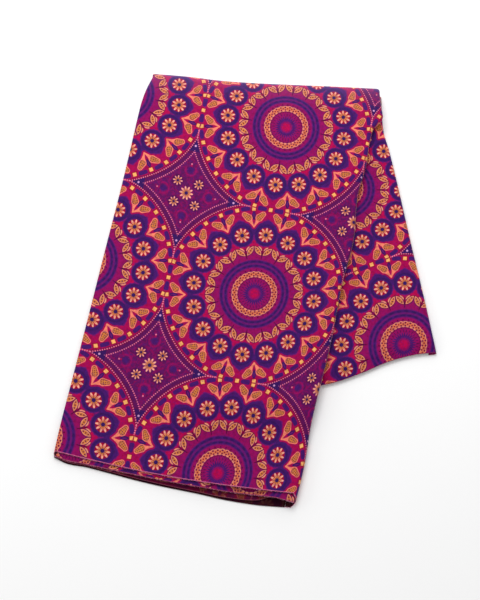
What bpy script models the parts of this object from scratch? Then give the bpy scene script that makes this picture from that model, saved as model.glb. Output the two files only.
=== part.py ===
"""A length of medallion-print shweshwe cotton, folded up and laid flat.

The cloth is 1.12 m wide and 0.914 m long. It is folded in half twice across its width, which
makes a strip of four layers, and then once across its length, so that the front part lies on
the back part. The back part fans out to the right from under the front.

Metres. +X is to the right, +Y runs from the cut ends to the top fold, and +Z is up from the
surface that the cloth lies on. The origin is on that surface, at the middle of the cloth.

In the front part the layers are, from the top: the panel, the second layer, and the third and
fourth, which nothing but their cut ends shows. The panel turns down into the second layer at the
left edge, and round under the strip into the fourth at the right edge. In the back part the
fourth layer is on top, as the flap, with the other three under it.
"""

import math

import bmesh
import bpy
from mathutils import Vector

for leftover in list(bpy.data.objects):
    bpy.data.objects.remove(leftover, do_unlink=True)

# One layer of cloth, as thick as a solid needs, and the gaps beside it
WALL = 0.0010
SEAM = 0.0003
AIR = 0.0005

# The top fold's axis, and the ends of the two parts, seen from above
FOLD_LEFT = Vector((-0.1134, 0.2541))
FOLD_RIGHT = Vector((0.1593, 0.2346))
FRONT_END_LEFT = Vector((-0.2130, -0.2002))
FRONT_END_RIGHT = Vector((0.0546, -0.2486))
FRONT_END_DIP = 0.0060
BACK_TOP_RIGHT = Vector((0.1619, 0.2341))
BACK_END_LEFT = Vector((-0.0590, -0.1354))
BACK_END_MIDDLE = Vector((0.0790, -0.1254))
BACK_END_RIGHT = Vector((0.2139, -0.0864))

# Heights of the folded strip
BACK_HEIGHT_AT_FOLD = 0.0080
BACK_HEIGHT_AT_HEM = 0.0050
BACK_LONGEST = 0.430
STACK_AT_FOLD = 0.0080

# The front part runs on past the back part's edges before it settles to the floor
RUNS_ON = 0.018
SETTLES_OVER = 0.045

# The front part from its top fold to its end. "share" is the share of its length, the bows are
# how far the left and the right edge stand out from a straight line, and the stacks are the
# heights of the four layers there. By the fold the right edge runs out over the flap's.
FRONT_SECTIONS = (
    # share, left_bow, right_bow, stack_left, stack_right
    (0.000, 0.0000, 0.0000, 0.0080, 0.0080),
    (0.035, 0.0036, 0.0050, 0.0077, 0.0080),
    (0.070, 0.0052, 0.0095, 0.0074, 0.0080),
    (0.100, 0.0052, 0.0008, 0.0072, 0.0080),
    (0.200, 0.0044, 0.0012, 0.0064, 0.0080),
    (0.280, 0.0040, -0.0010, 0.0061, 0.0080),
    (0.390, 0.0037, 0.0046, 0.0058, 0.0081),
    (0.500, 0.0033, 0.0018, 0.0056, 0.0082),
    (0.650, 0.0023, 0.0026, 0.0055, 0.0084),
    (0.830, 0.0015, -0.0006, 0.0055, 0.0088),
    (0.930, 0.0012, 0.0012, 0.0055, 0.0092),
    (1.000, 0.0000, 0.0000, 0.0055, 0.0095),
)

# How far the top fold dips below a straight line between its corners
FOLD_DIPS = (
    # share of the width, dip
    (0.00, 0.0000),
    (0.15, 0.0008),
    (0.30, 0.0034),
    (0.45, 0.0038),
    (0.60, 0.0030),
    (0.80, 0.0016),
    (1.00, 0.0008),
)
DIP_FADES_AT = 0.12

# The back part's right edge, in the same way
BACK_SECTIONS = (
    # share, bow
    (0.00, 0.0000),
    (0.14, -0.0062),
    (0.22, -0.0045),
    (0.35, -0.0032),
    (0.60, -0.0021),
    (0.80, -0.0006),
    (1.00, 0.0000),
)

# How far the back part's hem hangs past a straight line between its corners
HEM_DROPS = (
    # share of the width, drop
    (0.00, 0.0000),
    (0.25, 0.0090),
    (0.45, 0.0140),
    (0.56, 0.0143),
    (0.69, 0.0083),
    (0.80, 0.0010),
    (0.91, -0.0016),
    (1.00, 0.0000),
)

# How far each layer's cut end lies past the panel's, or past the flap's hem
FRONT_OVERHANGS = {
    # layer: (at the left edge, at the right edge)
    "second": (0.0060, 0.0085),
    "third": (0.0070, 0.0120),
    "fourth": (0.0080, 0.0145),
}
BACK_OVERHANGS = {"third": -0.0008, "second": 0.0004, "first": 0.0016}
FRONT_GROOVE = 0.012
BACK_GROOVE = 0.006
BACK_GROOVE_HEIGHT = 0.0003

# The turned edges: what is tucked under at the right edge, and at the left one
LIP = 0.006
LEFT_LIP = 0.0015
TUCK_AT_FOLD = 0.6
FOLD_TAIL = 0.005
CORE_ENDS = 0.055
CORE_INSET = 0.0050
SELVEDGE_INSET = 0.0008
BACK_LEFT_INSET = 0.0034
STEP_OVER_TAIL = 0.022
BACK_STARTS = 0.0012

# How finely the surfaces are divided
FRONT_ROWS = (0.06, 0.085, 0.12, 0.18, 0.24, 0.30, 0.36, 0.42, 0.48, 0.54, 0.60, 0.66, 0.72,
              0.78, 0.84, 0.90, 0.95)
ROWS_BY_FOLD = (0.0, 0.02)
BACK_ROWS = (0.08, 0.16, 0.24, 0.32, 0.40, 0.48, 0.56, 0.64, 0.72, 0.80, 0.88, 0.95, 1.0)
COLUMNS = (0.06, 0.14, 0.23, 0.32, 0.41, 0.50, 0.59, 0.68, 0.77, 0.86, 0.93)
ROLL_STEPS = 8
RIGHT_BEND_STEPS = 8
LEFT_BEND_STEPS = 4

PRINTED_SIDE = (0.36, 0.02, 0.13)
WRONG_SIDE = (0.19, 0.015, 0.06)
ROUGHNESS = 0.85

FOLD_ACROSS = (FOLD_RIGHT - FOLD_LEFT).normalized()
FOLD_OUTWARD = Vector((-FOLD_ACROSS.y, FOLD_ACROSS.x))
FRONT_DOWN = (FRONT_END_LEFT + FRONT_END_RIGHT - FOLD_LEFT - FOLD_RIGHT).normalized()
BACK_DOWN = (BACK_END_LEFT + BACK_END_RIGHT - FOLD_LEFT - BACK_TOP_RIGHT).normalized()
BACK_OUTLINE = (FOLD_LEFT, BACK_END_LEFT, BACK_END_MIDDLE, BACK_END_RIGHT, BACK_TOP_RIGHT)
AXIS_HEIGHT = (BACK_HEIGHT_AT_FOLD + AIR + STACK_AT_FOLD) / 2


def ease(share):
    """0 up to 0 and 1 from 1, with a soft start and end."""
    share = min(max(share, 0.0), 1.0)
    return share * share * (3 - 2 * share)


def between(table, share, column):
    """A column of a table at a share of the length, on a smooth curve through its rows."""
    last = len(table) - 2
    i = max(k for k in range(last + 1) if table[k][0] <= share or k == 0)
    rows = [table[min(max(k, 0), last + 1)] for k in (i - 1, i, i + 1, i + 2)]
    (x0, y0), (x1, y1), (x2, y2), (x3, y3) = [(row[0], row[column]) for row in rows]
    step = x2 - x1
    slope_in = (y2 - y0) / (x2 - x0)
    slope_out = (y3 - y1) / (x3 - x1)
    t = (share - x1) / step
    bend = (2 * t**3 - 3 * t**2 + 1) * y1 + (3 * t**2 - 2 * t**3) * y2
    return bend + step * ((t**3 - 2 * t**2 + t) * slope_in + (t**3 - t**2) * slope_out)


def distance_outside(point, outline):
    """How far a point lies outside a convex outline whose corners run anticlockwise."""
    inside = True
    nearest = math.inf
    for start, end in zip(outline, outline[1:] + outline[:1]):
        side = end - start
        offset = point - start
        inside = inside and side.x * offset.y - side.y * offset.x >= 0
        share = min(max(offset.dot(side) / side.length_squared, 0.0), 1.0)
        nearest = min(nearest, (offset - side * share).length)
    return 0.0 if inside else nearest


def back_height(point):
    """The height of the back part's top, which falls evenly from the top fold to the hem."""
    from_fold = -(point - FOLD_LEFT).dot(FOLD_OUTWARD) / BACK_LONGEST
    return BACK_HEIGHT_AT_FOLD + (BACK_HEIGHT_AT_HEM - BACK_HEIGHT_AT_FOLD) * from_fold


def lift(point):
    """The height of the front part's underside: on the back part, and on the floor beside it."""
    fallen = ease((distance_outside(point, BACK_OUTLINE) - RUNS_ON) / SETTLES_OVER)
    return (back_height(point) + AIR) * (1 - fallen)


def front_edges(share):
    """The left and the right end of a row across the front part."""
    left = FOLD_LEFT.lerp(FRONT_END_LEFT, share)
    right = FOLD_RIGHT.lerp(FRONT_END_RIGHT, share)
    across = (right - left).normalized()
    left_bow = between(FRONT_SECTIONS, share, 1)
    right_bow = between(FRONT_SECTIONS, share, 2)
    return left - across * left_bow, right + across * right_bow


def back_edges(share):
    """The left and the right end of a row across the back part."""
    left = FOLD_LEFT.lerp(BACK_END_LEFT, share)
    right = BACK_TOP_RIGHT.lerp(BACK_END_RIGHT, share)
    return left, right + (right - left).normalized() * between(BACK_SECTIONS, share, 1)


def stack_height(share, across):
    """The height of the front part's four layers, at a share of its length and of its width."""
    left = between(FRONT_SECTIONS, share, 3)
    right = between(FRONT_SECTIONS, share, 4)
    return left + (right - left) * ease(across)


def fold_dip(share, across):
    """How far the top fold's dip draws a place down, at a share of the length and of the width."""
    dip = between(FOLD_DIPS, min(max(across, 0.0), 1.0), 1)
    return FOLD_OUTWARD * (-dip * (1 - ease(share / DIP_FADES_AT)))


def front_point(share, section):
    """A point of a front section (distance across, height, overhang), in the cloth's frame."""
    across, height, overhang = section
    left, right = front_edges(share)
    width = (right - left).length
    place = left + (right - left) * (across / width)
    dip = FRONT_END_DIP * math.sin(math.pi * min(max(across / width, 0.0), 1.0))
    place = place + FRONT_DOWN * (dip * ease(2 * share - 1)) + fold_dip(share, across / width)
    height = height + lift(place)
    past_last_row = (share - FRONT_ROWS[-1]) / (1 - FRONT_ROWS[-1])
    place = place + FRONT_DOWN * (overhang * max(past_last_row, 0.0))
    return Vector((place.x, place.y, height))


def rolled_point(turn, tail, section):
    """A point of the top fold's section, turned about the fold's axis and run on by a tail."""
    across, height, _ = section
    radius = height + BACK_HEIGHT_AT_FOLD + AIR - AXIS_HEIGHT
    out = radius * math.sin(turn) - tail
    place = FOLD_LEFT + FOLD_ACROSS * across + FOLD_OUTWARD * out
    place = place + fold_dip(0.0, across / (FOLD_RIGHT - FOLD_LEFT).length)
    return Vector((place.x, place.y, AXIS_HEIGHT + radius * math.cos(turn)))


def back_point(share, section):
    """A point of a back section (distance across, height, overhang), in the cloth's frame."""
    across, height, overhang = section
    left, right = back_edges(share)
    width = (right - left).length
    place = left + (right - left) * (across / width)
    drop = between(HEM_DROPS, min(max(across / width, 0.0), 1.0), 1)
    place = place + BACK_DOWN * ((overhang + drop) * share**4) + fold_dip(share, across / width)
    return Vector((place.x, place.y, height))


def overhang(layer, across):
    """How far a front layer's cut end lies past the panel's, at a share of the width."""
    left, right = FRONT_OVERHANGS[layer]
    return left + (right - left) * ease(across)


def tucked(share):
    """How far round the right edge turns: part of the way at the top fold, then all the way."""
    return TUCK_AT_FOLD + (1 - TUCK_AT_FOLD) * min(share, 1.0)


def right_turn(width, stack, radius, tuck, upper, lower):
    """The bend at a right edge and the lip under it, from the upper layer to the lower one."""
    centre = width - stack / 2
    points = []
    for step in range(RIGHT_BEND_STEPS + 1):
        share = step / RIGHT_BEND_STEPS
        angle = math.pi * (0.5 - tuck * share)
        past = upper + (lower - upper) * share
        points.append((centre + radius * math.cos(angle), stack / 2 + radius * math.sin(angle), past))
    lip = LIP * max(0.05, (tuck - TUCK_AT_FOLD) / (1 - TUCK_AT_FOLD))
    across, height, past = points[-1]
    points.append((across - lip, height, past))
    return points


def wall_section(centre_line):
    """The closed section of a wall of cloth along a centre line: its outer run, then its inner."""
    outer, inner = [], []
    last = len(centre_line) - 1
    for i, (across, height, past) in enumerate(centre_line):
        before, after = centre_line[max(i - 1, 0)], centre_line[min(i + 1, last)]
        along = Vector((after[0] - before[0], after[1] - before[1])).normalized()
        side = Vector((-along.y, along.x)) * (WALL / 2)
        outer.append((across + side.x, height + side.y, past))
        inner.append((across - side.x, height - side.y, past))
    return outer, inner


def panel_section(share):
    """The panel from its left turn, over the top, round the right edge and under."""
    left, right = front_edges(share)
    width = (right - left).length
    stack = stack_height(share, 1.0)
    bead = (2 * WALL + AIR) / 2
    bead_line = bead - WALL / 2
    bead_middle = stack_height(share, 0.0) - bead
    second = overhang("second", 0.0)
    line = [(bead + LEFT_LIP, bead_middle - bead_line, second)]
    for step in range(LEFT_BEND_STEPS + 1):
        angle = math.pi * (1.5 - step / LEFT_BEND_STEPS)
        past = second * (1 - step / LEFT_BEND_STEPS)
        line.append((bead + bead_line * math.cos(angle), bead_middle + bead_line * math.sin(angle), past))
    line += [(column * width, stack_height(share, column) - WALL / 2, 0.0) for column in COLUMNS]
    tuck = tucked(share / FRONT_ROWS[0])
    line += right_turn(width, stack, (stack - WALL) / 2, tuck, 0.0, overhang("fourth", 1.0))
    return wall_section(line)


def second_section(share):
    """The second layer, from the panel's left turn to the bend inside the right edge."""
    left, right = front_edges(share)
    width = (right - left).length
    stack = stack_height(share, 1.0)
    below_top = 1.5 * WALL + AIR
    starts = (2 * WALL + AIR) / 2 + LEFT_LIP + SEAM
    line = [(starts, stack_height(share, 0.0) - below_top, overhang("second", 0.0))]
    for column in COLUMNS:
        line.append((column * width, stack_height(share, column) - below_top, overhang("second", column)))
    radius = stack / 2 - below_top
    line += right_turn(width, stack, radius, 1.0, overhang("second", 1.0), overhang("third", 1.0))
    return wall_section(line)


def flap_section(share):
    """The flap, and the right edge that turns under it."""
    left, right = back_edges(share)
    width = (right - left).length

    def top(across):
        return back_height(left + (right - left) * (across / width))

    stack = top(width - WALL)
    line = [(BACK_LEFT_INSET, top(BACK_LEFT_INSET) - WALL / 2, 0.0)]
    line += [(column * width, top(column * width) - WALL / 2, 0.0) for column in COLUMNS]
    tuck = tucked(share / BACK_ROWS[0])
    line += right_turn(width, stack, (stack - WALL) / 2, tuck, 0.0, BACK_OVERHANGS["first"])
    return wall_section(line)


def lower_layers_outline(column):
    """The third and fourth layers down one column, and what fills the inside of the top fold."""
    def across(share, core=False):
        left, right = front_edges(share)
        width = (right - left).length
        stack = stack_height(share, 1.0)
        if column == 0.0:
            return CORE_INSET if core else SELVEDGE_INSET
        if column == 1.0:
            return width - stack / 2 if share == 0.0 else width - stack / 2 - LIP - 2 * SEAM
        return column * width

    def point(share, height, layer="fourth", core=False):
        return front_point(share, (across(share, core), height, overhang(layer, column)))

    third_under, third_top = WALL + AIR, 2 * WALL + AIR
    shares = FRONT_ROWS + (1.0,)
    under = [point(share, 0.0) for share in shares]
    over = [point(share, third_top, "third") for share in shares]
    groove_under, groove_over = point(1.0, WALL), point(1.0, third_under, "third")
    groove_end = groove_under - FRONT_DOWN.to_3d() * FRONT_GROOVE
    groove_end.z += AIR / 2
    ends = [groove_under, groove_end, groove_over]
    core = [point(CORE_ENDS, third_top)]
    for share in (CORE_ENDS, ROWS_BY_FOLD[-1]):
        under_second = stack_height(share, column) - WALL - AIR
        core.append(point(share, under_second, core=True))
    fill = STACK_AT_FOLD - WALL - AIR
    for step in range(ROLL_STEPS + 1):
        turn = math.pi * step / ROLL_STEPS
        core.append(rolled_point(turn, 0.0, (across(0.0, True), fill, 0.0)))
    core += [point(share, 0.0) for share in ROWS_BY_FOLD]
    return under, ends, over, core


def under_layers_outline(column):
    """The three layers under the flap down one column, with a groove between each two."""
    def across(share):
        left, right = back_edges(share)
        width = (right - left).length
        if column == 0.0:
            return BACK_LEFT_INSET
        if column == 1.0:
            return width - back_height(right) / 2 - LIP - 2 * SEAM
        return column * width

    def under_flap(share):
        left, right = back_edges(share)
        place = left + (right - left) * (across(share) / (right - left).length)
        return back_height(place) - WALL - AIR

    def point(share, height, layer):
        return back_point(share, (across(share), height, BACK_OVERHANGS[layer]))

    layer_height = (under_flap(1.0) - 2 * BACK_GROOVE_HEIGHT) / 3
    pitch = layer_height + BACK_GROOVE_HEIGHT
    inward = BACK_DOWN.to_3d() * BACK_GROOVE
    under = [point(share, 0.0, "first") for share in BACK_ROWS]
    over = [point(share, under_flap(share), "third") for share in BACK_ROWS]
    ends = []
    for below, above, level in (("first", "second", 1), ("second", "third", 2)):
        groove_under = point(1.0, level * pitch - BACK_GROOVE_HEIGHT, below)
        groove_over = point(1.0, level * pitch, above)
        ends += [groove_under, (groove_over + groove_under) / 2 - inward, groove_over]
    by_fold = [
        point(BACK_STARTS, under_flap(BACK_STARTS), "third"),
        point(BACK_STARTS, WALL + SEAM, "first"),
        point(STEP_OVER_TAIL, WALL + SEAM, "first"),
        point(STEP_OVER_TAIL, 0.0, "first"),
    ]
    return under, ends, over, by_fold


def add_object(name, mesh_data, colour):
    """A named object with a cloth of its own colour."""
    mesh = bpy.data.meshes.new(name)
    mesh_data.to_mesh(mesh)
    mesh_data.free()
    mesh.shade_smooth()
    mesh.set_sharp_from_angle(angle=math.radians(40))
    material = bpy.data.materials.new(name)
    material.use_nodes = True
    shader = material.node_tree.nodes["Principled BSDF"]
    shader.inputs["Base Color"].default_value = (*colour, 1.0)
    shader.inputs["Roughness"].default_value = ROUGHNESS
    shader.inputs["Metallic"].default_value = 0.0
    mesh.materials.append(material)
    cloth = bpy.data.objects.new(name, mesh)
    bpy.context.scene.collection.objects.link(cloth)
    return cloth


def joined_rings(rings, turns_back):
    """A mesh of closed rings of points, each joined to the next by a band of triangles.

    A ring runs along the cloth's one side, and from turns_back it runs back along the other.
    The triangles of both sides, and of the layers beside them, are cut the same way, so that
    layers that follow each other over a slope stay as far apart between their points.
    """
    cloth = bmesh.new()
    vertices = [[cloth.verts.new(point) for point in ring] for ring in rings]
    count = len(vertices[0])
    for ring, after in zip(vertices, vertices[1:]):
        for i in range(count):
            j = (i + 1) % count
            if i < turns_back:
                cloth.faces.new((ring[i], ring[j], after[j]))
                cloth.faces.new((ring[i], after[j], after[i]))
            else:
                cloth.faces.new((ring[i], ring[j], after[i]))
                cloth.faces.new((ring[j], after[j], after[i]))
    return cloth, vertices


def add_wall(name, rows, colour):
    """A wall of cloth through rows of (outer points, inner points)."""
    cloth, vertices = joined_rings([outer + inner[::-1] for outer, inner in rows], len(rows[0][0]))
    for ring in (vertices[0], vertices[-1]):
        for i in range(len(ring) // 2 - 1):
            cloth.faces.new((ring[i], ring[i + 1], ring[-2 - i], ring[-1 - i]))
    bmesh.ops.recalc_face_normals(cloth, faces=cloth.faces)
    return add_object(name, cloth, colour)


def add_solid(name, outlines, colour):
    """A solid through one outline for each column across the cloth.

    An outline is four runs of points: along the underside, up the cut end, along the top in the
    same direction as the underside, and from the start of the top to that of the underside.
    """
    rings = [under + ends + over[::-1] + start for under, ends, over, start in outlines]
    under, ends, over, _ = outlines[0]
    rows = len(under)
    first_over = rows + len(ends) + len(over) - 1
    cloth, vertices = joined_rings(rings, rows + len(ends))
    for ring in (vertices[0], vertices[-1]):
        for i in range(rows - 2):
            cloth.faces.new((ring[i], ring[i + 1], ring[first_over - i - 1], ring[first_over - i]))
        cloth.faces.new(ring[rows - 2:first_over - rows + 3])
        cloth.faces.new(ring[first_over:] + ring[:1])
    cloth.normal_update()
    bmesh.ops.triangulate(cloth, faces=[face for face in cloth.faces if len(face.verts) > 4])
    bmesh.ops.recalc_face_normals(cloth, faces=cloth.faces)
    return add_object(name, cloth, colour)


def build_front_panel():
    """The panel that shows, from under the top fold, round it and down to the cut end."""
    section = panel_section(0.0)
    rows = [[[rolled_point(math.pi, FOLD_TAIL, s) for s in run] for run in section]]
    for step in range(ROLL_STEPS):
        turn = math.pi * (1 - step / ROLL_STEPS)
        rows.append([[rolled_point(turn, 0.0, s) for s in run] for run in section])
    for share in ROWS_BY_FOLD + FRONT_ROWS + (1.0,):
        rows.append([[front_point(share, s) for s in run] for run in panel_section(share)])
    return add_wall("front_panel", rows, PRINTED_SIDE)


def build_front_second_layer():
    """The layer under the panel, whose cut end shows below the panel's."""
    rows = []
    for share in FRONT_ROWS + (1.0,):
        rows.append([[front_point(share, s) for s in run] for run in second_section(share)])
    return add_wall("front_second_layer", rows, WRONG_SIDE)


def build_back_flap():
    """The back part's top layer, which shows to the right of the front part."""
    rows = []
    for share in (BACK_STARTS,) + BACK_ROWS:
        rows.append([[back_point(share, s) for s in run] for run in flap_section(share)])
    return add_wall("back_flap", rows, PRINTED_SIDE)


across_columns = (0.0,) + COLUMNS + (1.0,)
build_front_panel()
build_front_second_layer()
add_solid("front_lower_layers", [lower_layers_outline(c) for c in across_columns], WRONG_SIDE)
build_back_flap()
add_solid("back_under_layers", [under_layers_outline(c) for c in across_columns], WRONG_SIDE)
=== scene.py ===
import math

import bpy
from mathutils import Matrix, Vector


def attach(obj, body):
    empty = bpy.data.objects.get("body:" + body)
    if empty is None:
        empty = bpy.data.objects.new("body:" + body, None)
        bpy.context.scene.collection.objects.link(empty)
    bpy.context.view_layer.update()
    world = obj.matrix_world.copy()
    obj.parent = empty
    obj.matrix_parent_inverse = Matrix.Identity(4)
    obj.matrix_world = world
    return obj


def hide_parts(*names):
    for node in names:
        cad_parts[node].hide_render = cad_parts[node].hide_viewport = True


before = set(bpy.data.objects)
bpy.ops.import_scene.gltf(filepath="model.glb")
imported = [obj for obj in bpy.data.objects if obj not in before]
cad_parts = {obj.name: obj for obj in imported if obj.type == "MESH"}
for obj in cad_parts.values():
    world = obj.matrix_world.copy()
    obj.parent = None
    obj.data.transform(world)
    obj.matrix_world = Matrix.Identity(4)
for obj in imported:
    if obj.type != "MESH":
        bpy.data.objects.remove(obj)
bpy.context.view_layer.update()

# The front panel. It is the uppermost of the four layers that the cotton makes when it is folded
# in half twice across its width. It turns under into the second layer at its left edge and into
# the fourth at its right edge, and at the top it rolls over and back under the whole strip.
CLOTH = 0.0006

FOLD_LEFT = Vector((-0.1134, 0.2541))
FOLD_RIGHT = Vector((0.1593, 0.2346))
FRONT_END_LEFT = Vector((-0.2130, -0.2002))
FRONT_END_RIGHT = Vector((0.0546, -0.2486))
FRONT_END_DIP = 0.0060
BACK_TOP_RIGHT = Vector((0.1619, 0.2341))
BACK_END_LEFT = Vector((-0.0590, -0.1354))
BACK_END_MIDDLE = Vector((0.0790, -0.1254))
BACK_END_RIGHT = Vector((0.2139, -0.0864))
BACK_HEIGHT_AT_FOLD = 0.0080
BACK_HEIGHT_AT_HEM = 0.0050
BACK_LONGEST = 0.430
STACK_AT_FOLD = 0.0080
AIR = 0.0005
RUNS_ON = 0.018
SETTLES_OVER = 0.045
FOLD_TAIL = 0.005

# The front part from its top fold to its end. "share" is the share of its length, the bows are
# how far the left and the right edge stand out from a straight line, and the stacks are the
# heights of the four layers there. By the fold the right edge runs out over the flap's.
FRONT_SECTIONS = (
    # share, left_bow, right_bow, stack_left, stack_right
    (0.000, 0.0000, 0.0000, 0.0080, 0.0080),
    (0.035, 0.0036, 0.0050, 0.0077, 0.0080),
    (0.070, 0.0052, 0.0095, 0.0074, 0.0080),
    (0.100, 0.0052, 0.0008, 0.0072, 0.0080),
    (0.200, 0.0044, 0.0012, 0.0064, 0.0080),
    (0.280, 0.0040, -0.0010, 0.0061, 0.0080),
    (0.390, 0.0037, 0.0046, 0.0058, 0.0081),
    (0.500, 0.0033, 0.0018, 0.0056, 0.0082),
    (0.650, 0.0023, 0.0026, 0.0055, 0.0084),
    (0.830, 0.0015, -0.0006, 0.0055, 0.0088),
    (0.930, 0.0012, 0.0012, 0.0055, 0.0092),
    (1.000, 0.0000, 0.0000, 0.0055, 0.0095),
)

# How far the top fold dips below a straight line between its corners
FOLD_DIPS = (
    # share of the width, dip
    (0.00, 0.0000),
    (0.15, 0.0008),
    (0.30, 0.0034),
    (0.45, 0.0038),
    (0.60, 0.0030),
    (0.80, 0.0016),
    (1.00, 0.0008),
)
DIP_FADES_AT = 0.12

# Middles of the layers: the second below the strip's top, the third above its underside. The bead
# is the small bend at the left edge, from the panel into the second layer.
SECOND_BELOW_TOP = 0.0020
THIRD_HEIGHT = 0.0020
BEAD = (SECOND_BELOW_TOP - CLOTH / 2) / 2
BEAD_ACROSS = BEAD + CLOTH / 2

# How far a layer runs on flat under its left and its right edge, and how far the panel's cut end
# lies past itself there. The ends slide apart from a share of the length on.
LEFT_LIP = 0.0015
RIGHT_LIP = 0.006
PAST_AT_LEFT = 0.0050
PAST_AT_RIGHT = 0.0145
SLIDES_FROM = 0.9
PANEL_ROWS = 96
PANEL_COLUMNS = 64
ROLL_STEPS = 18
BEND_STEPS = 12
SHARP_ANGLE = math.radians(50)

# The print's repeat, in the cloth's plane: across and along, with the middle of a medallion
REPEAT_ACROSS = Vector((0.1960, -0.0396))
REPEAT_ALONG = Vector((-0.0391, -0.2073))
MEDALLION_MIDDLE = Vector((0.0081, -0.0200))

# How far the print lies off a straight repeat, in millimetres. The cotton is drawn out of square
# where it is folded, most of all at both edges.
PRINT_DRIFT = (
    # share, middle_x, middle_y, left_x, left_y, right_x, right_y
    (0.0, 0.7, 1.5, 0.4, -4.7, 2.7, 4.2),
    (0.06, 0.3, -1.4, 1.4, -5.4, 2.9, 5.4),
    (0.2, -0.6, -0.3, 3.8, -7.3, 3.2, -1.5),
    (0.4, -0.3, 3.1, 2.1, -8.3, 2.3, -7.3),
    (0.6, -0.9, 1.8, 2.6, -7.1, 4.3, -11.0),
    (0.8, -2.0, 1.7, 6.8, -7.4, 9.7, -13.0),
    (1.0, -0.3, 1.7, 4.2, -5.2, 9.5, -13.0),
)

# Soft creases of the front part, as lines on the plan. "rise" is the share by which the four
# layers stand higher there, or lower.
FRONT_CREASES = (
    # from_x, from_y, to_x, to_y, half_width, rise
    (0.1418, 0.1950, 0.1340, 0.1300, 0.0050, -0.075),
    (0.1265, 0.2010, 0.1215, 0.1480, 0.0090, 0.040),
    (-0.0100, 0.1330, 0.0700, 0.1240, 0.0110, -0.050),
    (-0.1500, 0.0450, -0.1660, -0.0080, 0.0110, -0.070),
    (-0.1200, -0.0300, -0.0900, -0.0900, 0.0160, 0.040),
    (0.0330, -0.1600, 0.0180, -0.2380, 0.0100, -0.080),
    (0.0560, -0.1500, 0.0400, -0.2300, 0.0080, 0.045),
    (-0.0250, -0.1900, -0.0450, -0.2350, 0.0120, 0.050),
    (-0.0900, 0.2000, -0.1050, 0.1200, 0.0120, 0.040),
    (0.0850, 0.0700, 0.0900, -0.0200, 0.0100, -0.045),
)

FOLD_ACROSS = (FOLD_RIGHT - FOLD_LEFT).normalized()
FOLD_OUTWARD = Vector((-FOLD_ACROSS.y, FOLD_ACROSS.x))
FRONT_DOWN = (FRONT_END_LEFT + FRONT_END_RIGHT - FOLD_LEFT - FOLD_RIGHT).normalized()
BACK_DOWN = (BACK_END_LEFT + BACK_END_RIGHT - FOLD_LEFT - BACK_TOP_RIGHT).normalized()
BACK_OUTLINE = (FOLD_LEFT, BACK_END_LEFT, BACK_END_MIDDLE, BACK_END_RIGHT, BACK_TOP_RIGHT)
AXIS_HEIGHT = (BACK_HEIGHT_AT_FOLD + AIR + STACK_AT_FOLD) / 2


def held(share):
    """A share, kept from 0 to 1."""
    return min(max(share, 0.0), 1.0)


def ease(share):
    """0 up to 0 and 1 from 1, with a soft start and end."""
    share = held(share)
    return share * share * (3 - 2 * share)


def between(table, share, column):
    """A column of a table at a share of the length, on a smooth curve through its rows."""
    last = len(table) - 2
    i = max(k for k in range(last + 1) if table[k][0] <= share or k == 0)
    rows = [table[min(max(k, 0), last + 1)] for k in (i - 1, i, i + 1, i + 2)]
    (x0, y0), (x1, y1), (x2, y2), (x3, y3) = [(row[0], row[column]) for row in rows]
    step = x2 - x1
    slope_in = (y2 - y0) / (x2 - x0)
    slope_out = (y3 - y1) / (x3 - x1)
    t = (share - x1) / step
    bend = (2 * t**3 - 3 * t**2 + 1) * y1 + (3 * t**2 - 2 * t**3) * y2
    return bend + step * ((t**3 - 2 * t**2 + t) * slope_in + (t**3 - t**2) * slope_out)


def distance_outside(point, outline):
    """How far a point lies outside a convex outline whose corners run anticlockwise."""
    inside = True
    nearest = math.inf
    for start, end in zip(outline, outline[1:] + outline[:1]):
        side = end - start
        offset = point - start
        inside = inside and side.x * offset.y - side.y * offset.x >= 0
        share = held(offset.dot(side) / side.length_squared)
        nearest = min(nearest, (offset - side * share).length)
    return 0.0 if inside else nearest


def back_height(place):
    """The height of the back part's top, which falls evenly from the top fold to the hem."""
    from_fold = -(place - FOLD_LEFT).dot(FOLD_OUTWARD) / BACK_LONGEST
    return BACK_HEIGHT_AT_FOLD + (BACK_HEIGHT_AT_HEM - BACK_HEIGHT_AT_FOLD) * from_fold


def lift(place):
    """The height of the front part's underside: on the back part, and on the floor beside it."""
    fallen = ease((distance_outside(place, BACK_OUTLINE) - RUNS_ON) / SETTLES_OVER)
    return (back_height(place) + AIR) * (1 - fallen)


def front_edges(share):
    """The left and the right end of a row across the front part."""
    left = FOLD_LEFT.lerp(FRONT_END_LEFT, share)
    right = FOLD_RIGHT.lerp(FRONT_END_RIGHT, share)
    across = (right - left).normalized()
    left_bow = between(FRONT_SECTIONS, share, 1)
    right_bow = between(FRONT_SECTIONS, share, 2)
    return left - across * left_bow, right + across * right_bow


def front_width(share):
    """The width of a row across the front part."""
    left, right = front_edges(share)
    return (right - left).length


def stack_height(share, across):
    """The height of the front part's four layers, at a share of its length and of its width."""
    left = between(FRONT_SECTIONS, share, 3)
    right = between(FRONT_SECTIONS, share, 4)
    return left + (right - left) * ease(across)


def fold_dip(share, across):
    """How far the top fold's dip draws a place down, at a share of the length and of the width."""
    dip = between(FOLD_DIPS, held(across), 1)
    return FOLD_OUTWARD * (-dip * (1 - ease(share / DIP_FADES_AT)))


def front_place(share, across):
    """A place on the plan, at a share of the front part's length and a distance across it."""
    left, right = front_edges(share)
    across /= (right - left).length
    dip = FRONT_END_DIP * math.sin(math.pi * held(across)) * ease(2 * share - 1)
    return left + (right - left) * across + FRONT_DOWN * dip + fold_dip(share, across)


def drifts(table, share):
    """The drifts that a table gives at a share of the length, as vectors in metres."""
    numbers = [between(table, share, column) * 0.001 for column in range(1, len(table[0]))]
    return [Vector(pair) for pair in zip(numbers[::2], numbers[1::2])]


def drift(share, across):
    """How far the print has drifted, at a share of the front part's length and of its width."""
    across = held(across)
    middle, left, right = drifts(PRINT_DRIFT, share)
    return middle + left * (1 - across) ** 3 + right * across**4


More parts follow.
